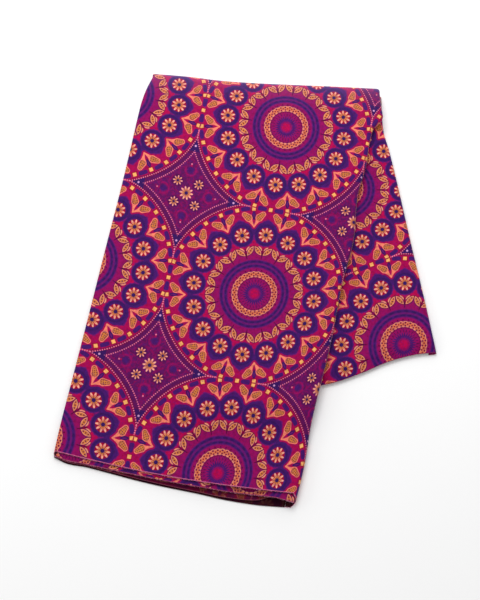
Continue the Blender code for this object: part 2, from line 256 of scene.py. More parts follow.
def printed_place(place, middle=MEDALLION_MIDDLE, repeat=(REPEAT_ACROSS, REPEAT_ALONG)):
    """The place on the print, in repeats from a medallion's middle, of a place on the plan."""
    across, down = repeat
    offset = place - middle
    turn = across.x * down.y - across.y * down.x
    repeats_across = (offset.x * down.y - offset.y * down.x) / turn
    return repeats_across, (across.x * offset.y - across.y * offset.x) / turn


def creased(creases, place):
    """The share by which the creases raise or lower a stack of layers at a place."""
    total = 0.0
    for from_x, from_y, to_x, to_y, half_width, rise in creases:
        start, line = Vector((from_x, from_y)), Vector((to_x - from_x, to_y - from_y))
        share = (place - start).dot(line) / line.length_squared
        off = (place - start - line * held(share)).length / half_width
        total += rise * math.exp(-off * off)
    return total


def front_cell(share, across, height, flat, past=0.0):
    """A point of the front part, its place on the print, and how far it lies from the cut end."""
    slid = FRONT_DOWN * (past * ease((share - SLIDES_FROM) / (1 - SLIDES_FROM)))
    place = front_place(share, across)
    point = place + slid
    spread = front_place(share, flat) + slid + drift(share, flat / front_width(share))
    to_end = front_place(1.0, across) + FRONT_DOWN * past - point
    height *= 1 + creased(FRONT_CREASES, place)
    return Vector((point.x, point.y, height + lift(place))), printed_place(spread), to_end.length


def rolled_cell(turn, tail, across, height, flat):
    """A point of the top fold, its place on the print, and a distance far from any cut end."""
    radius = height + BACK_HEIGHT_AT_FOLD + AIR - AXIS_HEIGHT
    out = radius * math.sin(turn) - tail
    width = front_width(0.0)
    place = FOLD_LEFT + FOLD_ACROSS * across + FOLD_OUTWARD * out + fold_dip(0.0, across / width)
    spread = FOLD_LEFT + FOLD_ACROSS * flat + FOLD_OUTWARD * (radius * turn + tail)
    spread += fold_dip(0.0, flat / width) + drift(0.0, flat / width)
    point = Vector((place.x, place.y, AXIS_HEIGHT + radius * math.cos(turn)))
    return point, printed_place(spread), 1.0


def linked(name, data):
    """A new object, in the scene."""
    made = bpy.data.objects.new(name, data)
    bpy.context.scene.collection.objects.link(made)
    return made


def add_cloth(name, grid, materials):
    """A sheet of cloth through a grid of (point, place on the print, distance from the cut end).

    Its faces look outwards where the rows run down the cloth and the columns to the right.
    """
    rows, columns = len(grid), len(grid[0])
    points, prints, ends = [], [], []
    for side in (CLOTH / 2, -CLOTH / 2):
        for r, row in enumerate(grid):
            for c, (point, printed, end) in enumerate(row):
                down = grid[min(r + 1, rows - 1)][c][0] - grid[max(r - 1, 0)][c][0]
                right = row[min(c + 1, columns - 1)][0] - row[max(c - 1, 0)][0]
                points.append(point + down.cross(right).normalized() * side)
                prints.append(printed)
                ends.append(end)
    faces, slots = [], []
    under = rows * columns
    for r in range(rows - 1):
        for c in range(columns - 1):
            a, b = r * columns + c, (r + 1) * columns + c
            faces.append((a, b, b + 1, a + 1))
            faces.append((under + a, under + a + 1, under + b + 1, under + b))
            slots += (0, 1)
    border = list(range(columns))
    border += [r * columns + columns - 1 for r in range(1, rows)]
    border += [(rows - 1) * columns + c for c in range(columns - 2, -1, -1)]
    border += [r * columns for r in range(rows - 2, 0, -1)]
    for a, b in zip(border, border[1:] + border[:1]):
        faces.append((a, b, under + b, under + a))
        slots.append(2)
    mesh = bpy.data.meshes.new(name)
    mesh.from_pydata(points, [], faces)
    mesh.polygons.foreach_set("material_index", slots)
    uv_map = mesh.uv_layers.new(name="cloth")
    for corner in mesh.loops:
        uv_map.data[corner.index].uv = prints[corner.vertex_index]
    cut = mesh.attributes.new("cut_end", "FLOAT", "POINT")
    cut.data.foreach_set("value", ends)
    for material in materials:
        mesh.materials.append(material)
    mesh.shade_smooth()
    mesh.set_sharp_from_angle(angle=SHARP_ANGLE)
    return linked(name, mesh)


class Reading:
    """A number read off the cloth. Arithmetic with it adds the shader nodes that work it out."""

    def __init__(self, socket):
        self.socket = socket

    def worked(self, operation, *others, clamp=False):
        """What a math node makes of this number and others."""
        entries = dict(enumerate((self, *others)))
        tree = self.socket.id_data
        node = new_node(tree, "ShaderNodeMath", entries, operation=operation, use_clamp=clamp)
        return Reading(node.outputs[0])

    def __add__(self, other):
        return self.worked("ADD", other)

    def __sub__(self, other):
        return self.worked("SUBTRACT", other)

    def __mul__(self, other):
        return self.worked("MULTIPLY", other)

    def __truediv__(self, other):
        return self.worked("DIVIDE", other)

    def __abs__(self):
        return self.worked("ABSOLUTE")

    def wrapped(self, half):
        """The same number, brought between -half and half by whole turns."""
        return self.worked("WRAP", half, -half)

    def kept(self, low, high):
        """The same number, kept between two others."""
        return self.worked("MAXIMUM", low).worked("MINIMUM", high)

    def under(self, limit, soft):
        """1 where the number is under a limit and 0 above it, with a soft edge."""
        return self.worked("MULTIPLY_ADD", -1 / soft, limit / soft + 0.5, clamp=True)

    def over(self, limit, soft):
        """1 where the number is over a limit and 0 under it."""
        return self.worked("MULTIPLY_ADD", 1 / soft, 0.5 - limit / soft, clamp=True)

    def within(self, middle, half, soft):
        """1 where the number is no further than half from the middle."""
        return abs(self - middle).under(half, soft)


def fed(node, entries):
    """The node, with its entries, by name or number, fed by values, readings or other nodes."""
    for name, value in entries.items():
        value = value.socket if isinstance(value, Reading) else value
        if isinstance(value, bpy.types.NodeSocket):
            node.id_data.links.new(value, node.inputs[name])
        else:
            node.inputs[name].default_value = value
    return node


def new_node(tree, kind, entries, **settings):
    """A new node with its settings, fed with its entries."""
    node = tree.nodes.new(kind)
    for setting, value in settings.items():
        setattr(node, setting, value)
    return fed(node, entries)


def new_group(name, kind, entries, results):
    """A node group with its sockets, each of a kind, and its first and its last node."""
    tree = bpy.data.node_groups.new(name, kind)
    for in_out, sockets in (("INPUT", entries), ("OUTPUT", results)):
        for socket, socket_kind in sockets.items():
            tree.interface.new_socket(socket, in_out=in_out, socket_type="NodeSocket" + socket_kind)
    return tree, tree.nodes.new("NodeGroupInput"), tree.nodes.new("NodeGroupOutput")


def placed(x, y):
    """The vector of two readings."""
    return Reading(new_node(x.socket.id_data, "ShaderNodeCombineXYZ", {0: x, 1: y}).outputs[0])


def parted(vector):
    """The two readings of a vector."""
    node = new_node(vector.socket.id_data, "ShaderNodeSeparateXYZ", {0: vector})
    return Reading(node.outputs[0]), Reading(node.outputs[1])


def vector_work(operation, vector, x, y):
    """The number that a vector node makes of a vector and a fixed one."""
    entries = {0: vector, 1: (x, y, 0)}
    node = new_node(vector.socket.id_data, "ShaderNodeVectorMath", entries, operation=operation)
    return Reading(node.outputs["Value"])


def far_from(vector, x=0, y=0):
    """The distance of a vector from a point."""
    return vector_work("DISTANCE", vector, x, y)


def along(vector, x, y):
    """How far a vector reaches in a direction."""
    return vector_work("DOT_PRODUCT", vector, x, y)


def measured(x, y, middle, towards):
    """How far a point lies from a middle in a direction, and how far to the side of that."""
    offset = placed(x - middle[0], y - middle[1])
    return along(offset, *towards), along(offset, towards[1], -towards[0])


def polar(x, y):
    """A point's distance from the middle that x and y are measured from, and its angle."""
    return (x * x + y * y).worked("SQRT"), y.worked("ARCTAN2", x)


def ink(red, green, blue):
    """A printing ink, from its colour as it looks in daylight, each 0 to 255."""
    def light(value):
        value /= 255
        return value / 12.92 if value <= 0.04045 else ((value + 0.055) / 1.055) ** 2.4
    return light(red), light(green), light(blue), 1.0


def painted(ground, *layers):
    """The ground with inks printed over it one after the other, each where its mask is 1."""
    for mask, colour in layers:
        tree = next(value.socket.id_data for value in (mask, ground) if isinstance(value, Reading))
        node = new_node(tree, "ShaderNodeMix", {0: mask, 6: ground, 7: colour}, data_type="RGBA")
        ground = Reading(node.outputs[2])
    return ground


CRIMSON = ink(170, 2, 76)
BRIGHT_CRIMSON = ink(182, 2, 74)
MAGENTA = ink(148, 8, 89)
PURPLE = ink(108, 20, 106)
DARK_PURPLE = ink(84, 8, 76)
DEEP_PURPLE = ink(94, 16, 82)
FIELD_PURPLE = ink(98, 16, 90)
FIELD_MAGENTA = ink(132, 8, 84)
NAVY = ink(69, 22, 102)
DARK_NAVY = ink(51, 20, 89)
MAROON = ink(84, 4, 48)
DARK_CRIMSON = ink(118, 2, 56)
RED = ink(158, 2, 42)
RUST = ink(144, 26, 46)
ORANGE = ink(222, 118, 76)
GOLD = ink(212, 128, 58)
OLIVE = ink(182, 106, 44)
SALMON = ink(252, 134, 104)
PEACH = ink(243, 146, 120)
PALE = ink(255, 184, 170)
YELLOW = ink(255, 182, 102)
PINK = ink(240, 118, 150)
LILAC = ink(214, 160, 208)

# The print's sizes and places are shares of the repeat. Every medallion is one sixteenth, turned
# and mirrored.
SOFT = 0.0018
SIXTEENTH = math.pi / 8
SCALLOPS = 28
DISC_OUT = 0.352
HEART_POINT = (0.396, 0.0)
STEM_TOWARDS = (0.855, 0.518)
STEM_LENGTH = 0.040
LOBE_MIDDLE = (0.4573, 0.0430)
LOBE_TOWARDS = (0.627, 0.779)
LOBE_REACH = 0.0148
LEAF_MIDDLE = (0.2537, 0.0284)
SIDE_LEAF_MIDDLE = (0.2693, 0.0168)
LEAF_TOWARDS = (0.712, 0.702)
RIM = 0.500
FIELD_STARTS = 0.5605
SIDE_FLOWER = 0.0615

# Rings about a medallion's middle, from the outside in, each over the ones before it
RINGS = (
    # middle, half the width, softness, depth of its scallops, ink
    (0.0000, 0.2020, 0.004, 0.0000, PURPLE),
    (0.1900, 0.0075, 0.004, 0.0000, NAVY),
    (0.1655, 0.0070, 0.004, 0.0000, NAVY),
    (0.0000, 0.1530, 0.004, 0.0000, MAGENTA),
    (0.1150, 0.0185, SOFT, 0.0016, MAROON),
    (0.1150, 0.0162, SOFT, 0.0016, PEACH),
    (0.1150, 0.0115, SOFT, 0.0000, ORANGE),
    (0.0000, 0.0960, 0.003, 0.0000, MAGENTA),
    (0.0000, 0.0600, 0.006, 0.0100, PURPLE),
    (0.0470, 0.0100, 0.006, 0.0090, NAVY),
    (0.0000, 0.0340, 0.006, 0.0000, MAGENTA),
    (0.0000, 0.0240, 0.008, 0.0000, BRIGHT_CRIMSON),
)

# Rows of dots and dashes about a medallion's middle, twenty-eight to the round in the rings and
# closer in the two lines round the rim
DOT_ROWS = (
    # radius, how many, start, half the width, length to width, ink
    (0.1900, 28, 0.0, 0.0062, 2.3, DARK_NAVY),
    (0.1655, 28, 0.5, 0.0058, 2.2, DARK_NAVY),
    (0.1405, 28, 0.5, 0.0040, 1.0, MAROON),
    (0.1235, 28, 0.0, 0.0050, 1.1, DARK_CRIMSON),
    (0.1150, 28, 0.5, 0.0046, 1.0, RUST),
    (0.1065, 28, 0.0, 0.0048, 1.0, DARK_CRIMSON),
    (0.0920, 56, 0.0, 0.0028, 1.0, MAROON),
    (0.0770, 28, 0.5, 0.0090, 0.25, DARK_PURPLE),
)
DOTTED_LINES = (
    # radius, how many, start, half the width, length to width, ink
    (0.5280, 256, 0.5, 0.0038, 1.0, PINK),
    (0.5605, 280, 0.5, 0.0036, 1.0, PINK),
)


def dots_painted(colour, r, around, row):
    """A row of dots at equal steps round the middle that r and around are measured from."""
    radius, count, start, half, long, dot_ink = row
    step = (around * (count / (2 * math.pi)) + start).wrapped(0.5)
    dot = far_from(placed(r, step * (2 * math.pi * radius / count / long)), radius)
    return painted(colour, (dot.under(half, SOFT), dot_ink))


def flower_painted(colour, x, y, radius, petals):
    """A flower of pale-tipped petals about a point that x and y are measured from."""
    distance, angle = polar(x, y)
    turn = angle.wrapped(math.pi / petals)
    run, off = distance * turn.worked("COSINE") / radius, distance * turn.worked("SINE") / radius
    petal = placed(run, off * 2.3)
    edge = SOFT / radius
    return painted(
        colour,
        (far_from(petal, 0.64).under(0.33, edge), PEACH),
        (far_from(petal, 0.78).under(0.14, edge), PALE),
        (far_from(petal, 0.46).under(0.16, edge), GOLD),
        (distance.under(radius * 0.33, SOFT), OLIVE),
        (distance.under(radius * 0.25, SOFT), DARK_NAVY),
    )


def discs_painted(colour, x, y, r):
    """Navy discs that run out to a point between the hearts, each with a flower."""
    beyond = x - DISC_OUT
    disc, angle = polar(beyond, y)
    outward = (beyond / disc).worked("MAXIMUM", 0.0).worked("POWER", 8.0)
    scallop = (angle * 18).worked("COSINE") * 0.0016
    pointed = disc * (outward * -0.22 + 1.0)
    colour = painted(
        colour,
        ((pointed - scallop).under(0.0705, 0.003), PURPLE),
        (r.within(0.385, 0.036, 0.006), NAVY),
        (pointed.under(0.0655, 0.003), NAVY),
        (disc.within(0.056, 0.006, 0.008), DARK_NAVY),
        (disc.under(0.0425, SOFT), RED),
    )
    return flower_painted(colour, beyond, y, 0.0445, 9)


def hearts_painted(colour, outward, aside):
    """Hearts of two plump paisleys that lean apart from a point, with a seed between them."""
    rise, off = measured(outward, aside, HEART_POINT, STEM_TOWARDS)
    share = (rise / STEM_LENGTH).kept(0.0, 1.0)
    stem = far_from(placed(rise - share * STEM_LENGTH, off)) - (share * share * 0.0080 + 0.0032)
    run, off = measured(outward, aside, LOBE_MIDDLE, LOBE_TOWARDS)
    reach = run.kept(-LOBE_REACH, LOBE_REACH)
    lobe = far_from(placed(run - reach, off)) - (reach * -0.237 + 0.0180)
    paisley = stem.worked("SMOOTH_MIN", lobe, 0.005)
    filled = lobe.under(-0.0068, SOFT)
    spots = far_from(placed(run.wrapped(0.0058), off.wrapped(0.0052))).under(0.0030, SOFT)
    seed = abs(aside) / 0.0110 + ((outward - 0.462) / 0.029).worked("POWER", 2.0)
    return painted(
        colour,
        (paisley.under(0.0105, 0.003), CRIMSON),
        (paisley.under(0.0010, SOFT), SALMON),
        (lobe.under(-0.0046, SOFT), MAROON),
        (filled, GOLD),
        (spots * filled, DARK_CRIMSON),
        (seed.under(1.0, 0.25), DARK_NAVY),
        (seed.under(0.35, 0.25), PURPLE),
    )


def leaves_painted(colour, x, y):
    """Pairs of leaves with three spots on each, side leaves, and a dark stem for each pair."""
    stem = (abs(x - 0.240) / 0.030).worked("MAXIMUM", y / 0.0026)
    run, off = measured(x, y, SIDE_LEAF_MIDDLE, LEAF_TOWARDS)
    side_leaf = (run / 0.0170).worked("POWER", 2.0) + abs(off) / 0.0064
    run, off = measured(x, y, LEAF_MIDDLE, LEAF_TOWARDS)
    leaf = (run / 0.0330).worked("POWER", 2.0) + abs(off) / 0.0134
    spots = far_from(placed(run.wrapped(0.0078), off)).under(0.0042, SOFT)
    return painted(
        colour,
        (stem.under(1.0, 0.3), MAROON),
        (side_leaf.under(1.3, 0.3), MAROON),
        (side_leaf.under(1.0, 0.2), PEACH),
        (leaf.under(1.3, 0.2), MAROON),
        (leaf.under(1.0, 0.15), PEACH),
        (leaf.under(0.68, 0.15), GOLD),
        (spots * abs(run).under(0.021, SOFT), DARK_CRIMSON),
    )


def rim_painted(colour, r, turn, meeting, beside):
    """Navy blocks between yellow squares. Two rims meet between the squares beside their touch."""
    to_square = turn.wrapped(SIXTEENTH / 4)
    to_block = abs(turn - SIXTEENTH / 4)
    block = ((r - 0.502) / 0.0125).worked("POWER", 4.0) + (to_block / 0.053).worked("POWER", 4.0)
    reach = abs(r - RIM).worked("MAXIMUM", abs(to_square * 0.5))
    square = reach.under(0.0104, SOFT)
    return painted(
        colour,
        (block.under(1.0, 0.6), NAVY),
        (reach.under(0.0160, 0.004), RED),
        (square, YELLOW),
        (meeting.under(0.0034, SOFT) * square * beside, RED),
    )


def star_painted(colour, r, p, q, scroll):
    """The star-shaped field between four medallions, with flowers about its middle."""
    far, near = p.worked("MAXIMUM", q), p.worked("MINIMUM", q)
    field = placed(far, near)
    inside = r.over(FIELD_STARTS, SOFT)
    arch = far_from(field, 0.134)
    open_end = (far - near * 0.4).under(0.142, 0.012)
    colour = painted(
        colour,
        (r.over(0.520, SOFT), DARK_CRIMSON),
        (r.over(0.535, 0.004), DEEP_PURPLE),
        (r.over(0.531, SOFT) * far.over(0.246, 0.004), DARK_NAVY),
        (far_from(field, 0.279).under(0.0060, SOFT), LILAC),
        (inside, FIELD_PURPLE),
        (scroll.within(0.50, 0.045, 0.05) * inside, FIELD_MAGENTA),
        (scroll.under(0.40, 0.08) * inside, DEEP_PURPLE),
        (arch.within(0.031, 0.0050, 0.004) * open_end, MAGENTA),
        (arch.under(0.019, 0.008), NAVY),
        (far_from(field, 0.160).under(0.0060, 0.004), CRIMSON),
        (far_from(field, 0.170).under(0.0048, SOFT), PINK),
        (far_from(placed(p, q), SIDE_FLOWER, SIDE_FLOWER).under(0.034, 0.008), DARK_PURPLE),
    )
    colour = flower_painted(colour, p - SIDE_FLOWER, q - SIDE_FLOWER, 0.0295, 8)
    colour = flower_painted(colour, p, q, 0.0410, 10)
    step = (far / 0.0128).wrapped(0.5) * 0.0128
    crossing = far_from(placed(step, near)).under(0.0046, SOFT)
    return painted(colour, (crossing * far.within(0.354, 0.029, SOFT), PINK))


def medallion_print():
    """The print: medallions that touch in rows, with star-shaped fields between them."""
    sockets = ({"Cloth place": "Vector"}, {"Colour": "Color"})
    tree, start, end = new_group("medallion print", "ShaderNodeTree", *sockets)
    place = Reading(start.outputs["Cloth place"])
    u, v = parted(place)
    a, b = u.wrapped(0.5), v.wrapped(0.5)
    r, around = polar(a, b)

    # The middle line of a sixteenth runs through a flower, and its edges through hearts
    turn = abs(around.wrapped(SIXTEENTH / 2))
    x, y = r * turn.worked("COSINE"), r * turn.worked("SINE")
    edge = (math.cos(SIXTEENTH / 2), math.sin(SIXTEENTH / 2))
    colour = painted(BRIGHT_CRIMSON, (r.within(0.51, 0.10, 0.05), CRIMSON))
    colour = discs_painted(colour, x, y, r)
    colour = hearts_painted(colour, *measured(x, y, (0.0, 0.0), edge))

    # The ground inside the leaves is magenta
    colour = painted(colour, ((r - turn * 0.22).under(0.232, 0.004), MAGENTA))
    colour = leaves_painted(colour, x, y)
    scallops = (around * SCALLOPS).worked("COSINE")
    for middle, half, soft, depth, ring_ink in RINGS:
        colour = painted(colour, ((r - scallops * depth).within(middle, half, soft), ring_ink))
    for row in DOT_ROWS:
        colour = dots_painted(colour, r, around, row)

    # The rim, the star-shaped field and the dotted lines round both
    far, near = abs(a).worked("MAXIMUM", abs(b)), abs(a).worked("MINIMUM", abs(b))
    colour = rim_painted(colour, r, turn, abs(far - RIM), near.over(0.02, SOFT))
    texture = {"Vector": place, "Scale": 30.0, "Detail": 1.0, "Distortion": 0.8}
    scroll = Reading(new_node(tree, "ShaderNodeTexNoise", texture).outputs["Fac"])
    p, q = (abs(number.worked("WRAP", 1.0, 0.0) - 0.5) for number in (u, v))
    colour = star_painted(colour, r, p, q, scroll)
    for row in DOTTED_LINES:
        colour = dots_painted(colour, r, around, row)
    fed(end, {"Colour": colour})


YARNS_A_REPEAT = 480.0
YARN_SHADE = ink(56, 2, 36)
DYE_SPECK = ink(70, 24, 130)

# A painted highlight: towards the top fold a pale ink is mixed more and more into the cloth's
# colour
FOLD_HIGHLIGHT_INK = ink(225, 200, 255)
FOLD_HIGHLIGHT_STARTS = -0.060
FOLD_HIGHLIGHT_RISES_OVER = 0.068
FOLD_HIGHLIGHT_SHARE = 0.065


def plain_weave():
    """The relief of a plain weave, the small unevenness of its yarns, and specks in the dye."""
    results = dict.fromkeys(("Height", "Unevenness", "Specks"), "Float")
    entries = {"Cloth place": "Vector"}
    tree, start, end = new_group("plain weave", "ShaderNodeTree", entries, results)
    place = Reading(start.outputs["Cloth place"])
    across, down = ((part * YARNS_A_REPEAT * math.pi).worked("SINE") for part in parted(place))
    yarns = {"Vector": place, "Scale": 55.0, "Detail": 4.0, "Roughness": 0.65}
    specks = {"Vector": place, "Scale": 100.0, "Detail": 2.0}
    worked_out = {
        "Height": across * down * 0.5 + 0.5,
        "Unevenness": new_node(tree, "ShaderNodeTexNoise", yarns).outputs["Fac"],
        "Specks": new_node(tree, "ShaderNodeTexNoise", specks).outputs["Fac"],
    }
    fed(end, worked_out)


def cotton(name, edge_ink, dulled_or_shaded=0.0, dull_or_shade_ink=PURPLE):
    """A printed cotton, with the share that its print is dulled by on this side of the cloth, or
    darkened by as painted shade.
    """
    material = bpy.data.materials.new(name)
    material.use_nodes = True
    tree = material.node_tree
    groups = bpy.data.node_groups
    place = {"Cloth place": new_node(tree, "ShaderNodeUVMap", {}, uv_map="cloth").outputs["UV"]}
    design = new_node(tree, "ShaderNodeGroup", place, node_tree=groups["medallion print"])
    weave = new_node(tree, "ShaderNodeGroup", place, node_tree=groups["plain weave"])
    uneven, specks = Reading(weave.outputs["Unevenness"]), Reading(weave.outputs["Specks"])
    position = Reading(tree.nodes.new("ShaderNodeTexCoord").outputs["Object"])
    past_fold = along(position, *FOLD_OUTWARD) - FOLD_LEFT.dot(FOLD_OUTWARD)
    # Painted highlight, growing stronger towards the top fold
    fold_highlight = ((past_fold - FOLD_HIGHLIGHT_STARTS) / FOLD_HIGHLIGHT_RISES_OVER).worked("MAXIMUM", 0.0).worked("POWER", 4.0)
    cut_end = new_node(tree, "ShaderNodeAttribute", {}, attribute_name="cut_end")
    to_end = Reading(cut_end.outputs["Fac"]) + uneven * 0.0008
    colour = painted(
        Reading(design.outputs["Colour"]),
        ((uneven - 0.42).worked("MULTIPLY", 1.5, clamp=True), YARN_SHADE),
        ((specks - 0.50).worked("MULTIPLY", 1.6, clamp=True), DYE_SPECK),
        (dulled_or_shaded, dull_or_shade_ink),
        (fold_highlight * FOLD_HIGHLIGHT_SHARE, FOLD_HIGHLIGHT_INK),
        (to_end.under(0.0009, 0.0006), edge_ink),
    )
    relief = {"Strength": 0.35, "Distance": 0.00015, "Height": weave.outputs["Height"]}
    surface = {
        "Base Color": colour,
        "Roughness": 0.62,
        "Sheen Weight": 0.60,
        "Sheen Roughness": 0.30,
        "Specular IOR Level": 0.04,
        "Normal": new_node(tree, "ShaderNodeBump", relief).outputs["Normal"],
    }
    fed(tree.nodes["Principled BSDF"], surface)
    return material


medallion_print()
plain_weave()
printed_side = cotton("printed_side", ink(216, 104, 150))
wrong_side = cotton("wrong_side", ink(158, 56, 98), 0.07, ink(70, 20, 60))
cut_edge = cotton("cut_edge", ink(206, 96, 140), 0.55, ink(150, 50, 96))
# Painted shade: a darker copy of the cotton, for the lower layers that lie in shade
shaded_side = cotton("shaded_side", ink(128, 54, 74), 0.82, ink(80, 3, 28))
flap_side = cotton("flap_side", ink(128, 10, 62))
# Painted shade: a near-black copy of the cotton, for insides, undersides and the lowest layers deep
# in the folds, where there is only shade
deep_shade_side = cotton("deep_shade_side", ink(60, 4, 26), 0.96, ink(36, 1, 14))
# Sets of sides: outer side, inner side and cut edges. The near-black painted shade covers the
# insides of the folds and the lowest layers
FLAP_SIDES = (flap_side, wrong_side, wrong_side)
DARK_INSIDE = (printed_side, deep_shade_side, cut_edge)
WRONG_SIDE_UP = (wrong_side, deep_shade_side, cut_edge)
SHADED_SIDES = (shaded_side, deep_shade_side, shaded_side)
DEEP_SHADE_SIDES = (deep_shade_side, deep_shade_side, deep_shade_side)


def spaced(start, end):
    """Even steps across a layer of cloth."""
    return [start + (end - start) * column / PANEL_COLUMNS for column in range(PANEL_COLUMNS + 1)]


def half_bend(across, height, radius, way):
    """Stations half round a bend to the right, 1, or the left, -1: (across, height, run)."""
    stations = []
    for step in range(1, BEND_STEPS + 1):
        angle = math.pi * step / BEND_STEPS
        side = way * radius * math.sin(angle)
        stations.append((across + side, height + radius * math.cos(angle), radius * angle))
    return stations


def right_bend(middle, radius, flat, way, past, past_under):
    """Stations round a layer's right edge and a little way on under it.

    The distance on the flat cloth runs on from flat, upwards or downwards as way is 1 or -1.
    """
    stations = []
    for across, height, run in half_bend(*middle, radius, 1):
        slid = past + (past_under - past) * run / (math.pi * radius)
        stations.append((across, height, flat + way * run, slid))
    across, height = middle
    run = math.pi * radius + RIGHT_LIP
    stations.append((across - RIGHT_LIP, height - radius, flat + way * run, past_under))
    return stations


def right_edge(share):
    """The front part's width, its height at the right, and how far across its right edge bends."""
    width = front_width(share)
    right = stack_height(share, 1.0)
    return width, right, width - right / 2


def panel_line(share):
    """Stations across the panel: (across, height, distance on the flat cloth, past its end)."""
    width, right, bend_across = right_edge(share)
    bead_height = stack_height(share, 0.0) - SECOND_BELOW_TOP + BEAD
    flat = BEAD_ACROSS - math.pi * BEAD - LEFT_LIP
    line = [(BEAD_ACROSS + LEFT_LIP, bead_height - BEAD, flat, PAST_AT_LEFT)]
    for across, height, run in reversed(half_bend(BEAD_ACROSS, bead_height, BEAD, -1)):
        line.append((across, height, BEAD_ACROSS - run, PAST_AT_LEFT * run / (math.pi * BEAD)))
    for across in spaced(BEAD_ACROSS, bend_across):
        line.append((across, stack_height(share, across / width) - CLOTH / 2, across, 0.0))
    middle = (bend_across, right / 2)
    return line + right_bend(middle, (right - CLOTH) / 2, bend_across, 1, 0.0, PAST_AT_RIGHT)


def rows_of(cell, first_share, line):
    """A grid of cells, with rows from a share of the length to its end."""
    shares = [first_share + (1 - first_share) * row / PANEL_ROWS for row in range(PANEL_ROWS + 1)]
    return [[cell(share, *station) for station in line(share)] for share in shares]


first_line = panel_line(0.0)
panel_grid = [[rolled_cell(math.pi, FOLD_TAIL, *station[:3]) for station in first_line]]
for step in range(ROLL_STEPS):
    turn = math.pi * (1 - step / ROLL_STEPS)
    panel_grid.append([rolled_cell(turn, 0.0, *station[:3]) for station in first_line])
panel_grid += rows_of(front_cell, 0.0, panel_line)
# The panel's inside faces are painted in near-black shade
front_panel = add_cloth("front_panel_cloth", panel_grid, DARK_INSIDE)
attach(front_panel, "root")
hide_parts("front_panel")

# The frayed end of the panel. Short ends of the yarns that run down the cloth stand out of its
# cut edge, pale where the dye hasn't reached their inside.
FRAY_SPACING = 0.0006
FRAY_SHORTEST = 0.0004
FRAY_LONGEST = 0.0013
FRAY_THICKNESS = 0.00022
FRAY_SPREAD = 0.45


def fraying():
    """Short yarn ends that stand out along an edge, in one direction but each a little askew."""
    entries = {"Edge": "Geometry", "Outward": "Vector", "Seed": "Int", "Material": "Material"}
    tree, start, end = new_group("fraying", "GeometryNodeTree", entries, {"Yarn ends": "Geometry"})
    given = start.outputs

    def node(kind, entries, **settings):
        """The first result of a new node of this group."""
        return new_node(tree, kind, entries, **settings).outputs[0]

    edge = node("GeometryNodeMeshToCurve", {"Mesh": given["Edge"]})
    steps = {"Curve": edge, "Length": FRAY_SPACING}
    places = node("GeometryNodeResampleCurve", steps, mode="LENGTH")
    yarn = node("GeometryNodeMeshCylinder", {"Vertices": 5, "Radius": 0.5, "Depth": 1.0})

    # A tenth of each yarn end is inside the cloth
    rooted = node("GeometryNodeTransform", {"Geometry": yarn, "Translation": (0.0, 0.0, 0.4)})
    any_way = {"Min": (-1.0, -1.0, -1.0), "Max": (1.0, 1.0, 1.0), "Seed": given["Seed"]}
    askew = node("FunctionNodeRandomValue", any_way, data_type="FLOAT_VECTOR")
    leaning = {0: askew, 1: (FRAY_SPREAD, FRAY_SPREAD, FRAY_SPREAD), 2: given["Outward"]}
    direction = node("ShaderNodeVectorMath", leaning, operation="MULTIPLY_ADD")
    rotation = node("FunctionNodeAlignRotationToVector", {"Vector": direction}, axis="Z")
    lengths = {"Min": FRAY_SHORTEST, "Max": FRAY_LONGEST, "Seed": given["Seed"]}
    length = new_node(tree, "FunctionNodeRandomValue", lengths).outputs["Value"]
    sizes = {"X": FRAY_THICKNESS, "Y": FRAY_THICKNESS, "Z": length}
    size = node("ShaderNodeCombineXYZ", sizes)
    standing = {"Points": places, "Instance": rooted, "Rotation": rotation, "Scale": size}
    yarns = node("GeometryNodeInstanceOnPoints", standing)
    made = node("GeometryNodeRealizeInstances", {"Geometry": yarns})
    dyed = {"Geometry": made, "Material": given["Material"]}
    fed(end, {"Yarn ends": node("GeometryNodeSetMaterial", dyed)})


fraying()
yarn_ends = bpy.data.materials.new("yarn_ends")
yarn_ends.use_nodes = True
yarn_tree = yarn_ends.node_tree
where = yarn_tree.nodes.new("ShaderNodeTexCoord").outputs["Object"]
dye = new_node(yarn_tree, "ShaderNodeTexNoise", {"Vector": where, "Scale": 420.0, "Detail": 1.0})
pale_share = Reading(dye.outputs["Fac"]).worked("MULTIPLY_ADD", 4.0, -1.6, clamp=True)
yarn_colour = painted(ink(122, 30, 76), (pale_share, ink(240, 160, 190)))
surface = {"Base Color": yarn_colour, "Roughness": 0.75, "Sheen Weight": 0.5}
fed(yarn_tree.nodes["Principled BSDF"], surface)


def frayed_end(name, cells, seed):
    """The yarn ends along the last row of a grid of cloth, as a plain mesh."""
    line = bpy.data.meshes.new(name + "_line")
    line.from_pydata([cell[0] for cell in cells], [(i, i + 1) for i in range(len(cells) - 1)], [])
    source = linked(name + "_line", line)
    modifier = source.modifiers.new("fraying", "NODES")
    modifier.node_group = bpy.data.node_groups["fraying"]
    values = {"Outward": (*FRONT_DOWN, 0.0), "Seed": seed, "Material": yarn_ends}
    for socket in modifier.node_group.interface.items_tree:
        if socket.name in values:
            modifier[socket.identifier] = values[socket.name]
    evaluated = source.evaluated_get(bpy.context.evaluated_depsgraph_get())
    mesh = bpy.data.meshes.new_from_object(evaluated)
    bpy.data.objects.remove(source)
    mesh.name = name
    return linked(name, mesh)


front_frayed_end = frayed_end("front_panel_frayed_end", panel_grid[-1], 3)
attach(front_frayed_end, "root")

